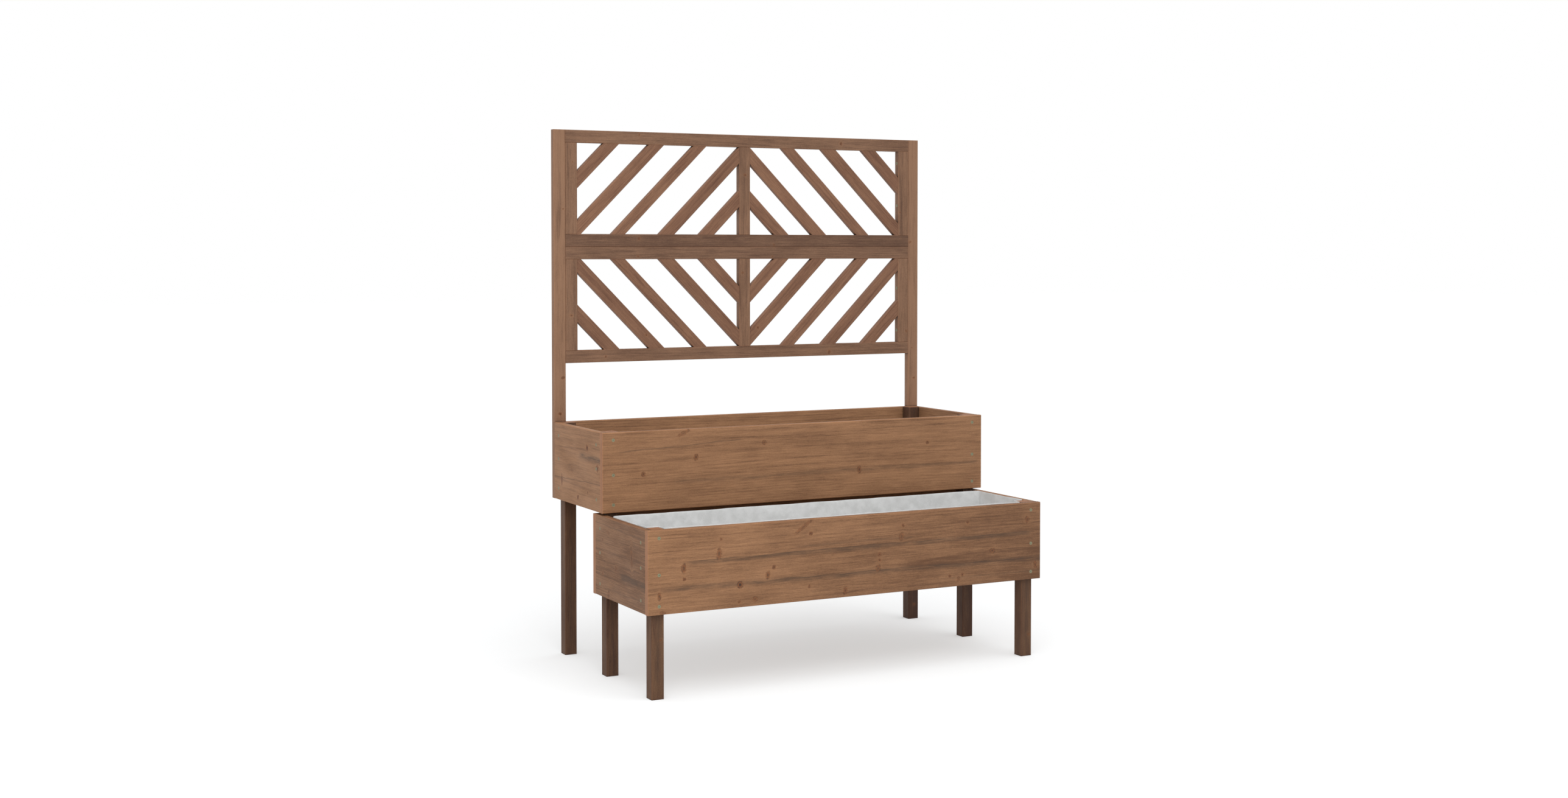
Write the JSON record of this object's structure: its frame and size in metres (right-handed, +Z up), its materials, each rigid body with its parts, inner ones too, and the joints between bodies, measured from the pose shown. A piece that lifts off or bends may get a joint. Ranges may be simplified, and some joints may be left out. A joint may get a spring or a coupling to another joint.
{
  "type": "planter with trellis",
  "caption": "Stepped wooden planter on square legs: a low box in front, a raised box behind it with a framed diamond-lattice trellis",
  "frame": {"origin": "On the ground in the middle of the footprint of the whole planter, below the middle of its length and depth", "axes": "+Z up; +X along the boxes to the right as seen from the front; +Y from the low box to the trellis at the back; the front faces -Y"},
  "size_m": [1, 0.567, 1.236],
  "materials": {
    "boards": "satin",
    "legs": "matte",
    "trellis_frame": "satin",
    "lattice": "satin",
    "floor_wood": "matte",
    "felt": "matte",
    "screws": "satin"
  },
  "bodies": {
    "root": {"batten_screws": "screws", "front_left_leg": "legs", "front_right_leg": "legs", "left_upright": "trellis_frame", "lower_back_batten": "floor_wood", "lower_back_board": "boards", "lower_board_screws": "screws", "lower_floor_slats": "floor_wood", "lower_front_batten": "floor_wood", "lower_front_board": "boards", "lower_left_end_board": "boards", "lower_liner": "felt", "lower_panel_bottom_rail": "trellis_frame", "lower_panel_centre_stile": "trellis_frame", "lower_panel_left_slat_1": "lattice", "lower_panel_left_slat_2": "lattice", "lower_panel_left_slat_3": "lattice", "lower_panel_left_slat_4": "lattice", "lower_panel_left_slat_5": "lattice", "lower_panel_left_stile": "trellis_frame", "lower_panel_right_slat_1": "lattice", "lower_panel_right_slat_2": "lattice", "lower_panel_right_slat_3": "lattice", "lower_panel_right_slat_4": "lattice", "lower_panel_right_slat_5": "lattice", "lower_panel_right_stile": "trellis_frame", "lower_panel_top_rail": "trellis_frame", "lower_right_end_board": "boards", "middle_left_leg": "legs", "middle_right_leg": "legs", "panel_screws": "screws", "rear_left_leg": "legs", "rear_right_leg": "legs", "right_upright": "trellis_frame", "upper_back_batten": "floor_wood", "upper_back_board": "boards", "upper_board_screws": "screws", "upper_floor_slats": "floor_wood", "upper_front_batten": "floor_wood", "upper_front_board": "boards", "upper_left_end_board": "boards", "upper_liner": "felt", "upper_panel_bottom_rail": "trellis_frame", "upper_panel_centre_stile": "trellis_frame", "upper_panel_left_slat_1": "lattice", "upper_panel_left_slat_2": "lattice", "upper_panel_left_slat_3": "lattice", "upper_panel_left_slat_4": "lattice", "upper_panel_left_slat_5": "lattice", "upper_panel_left_stile": "trellis_frame", "upper_panel_right_slat_1": "lattice", "upper_panel_right_slat_2": "lattice", "upper_panel_right_slat_3": "lattice", "upper_panel_right_slat_4": "lattice", "upper_panel_right_slat_5": "lattice", "upper_panel_right_stile": "trellis_frame", "upper_panel_top_rail": "trellis_frame", "upper_right_end_board": "boards", "upright_screws": "screws"}
  },
  "joints": []
}
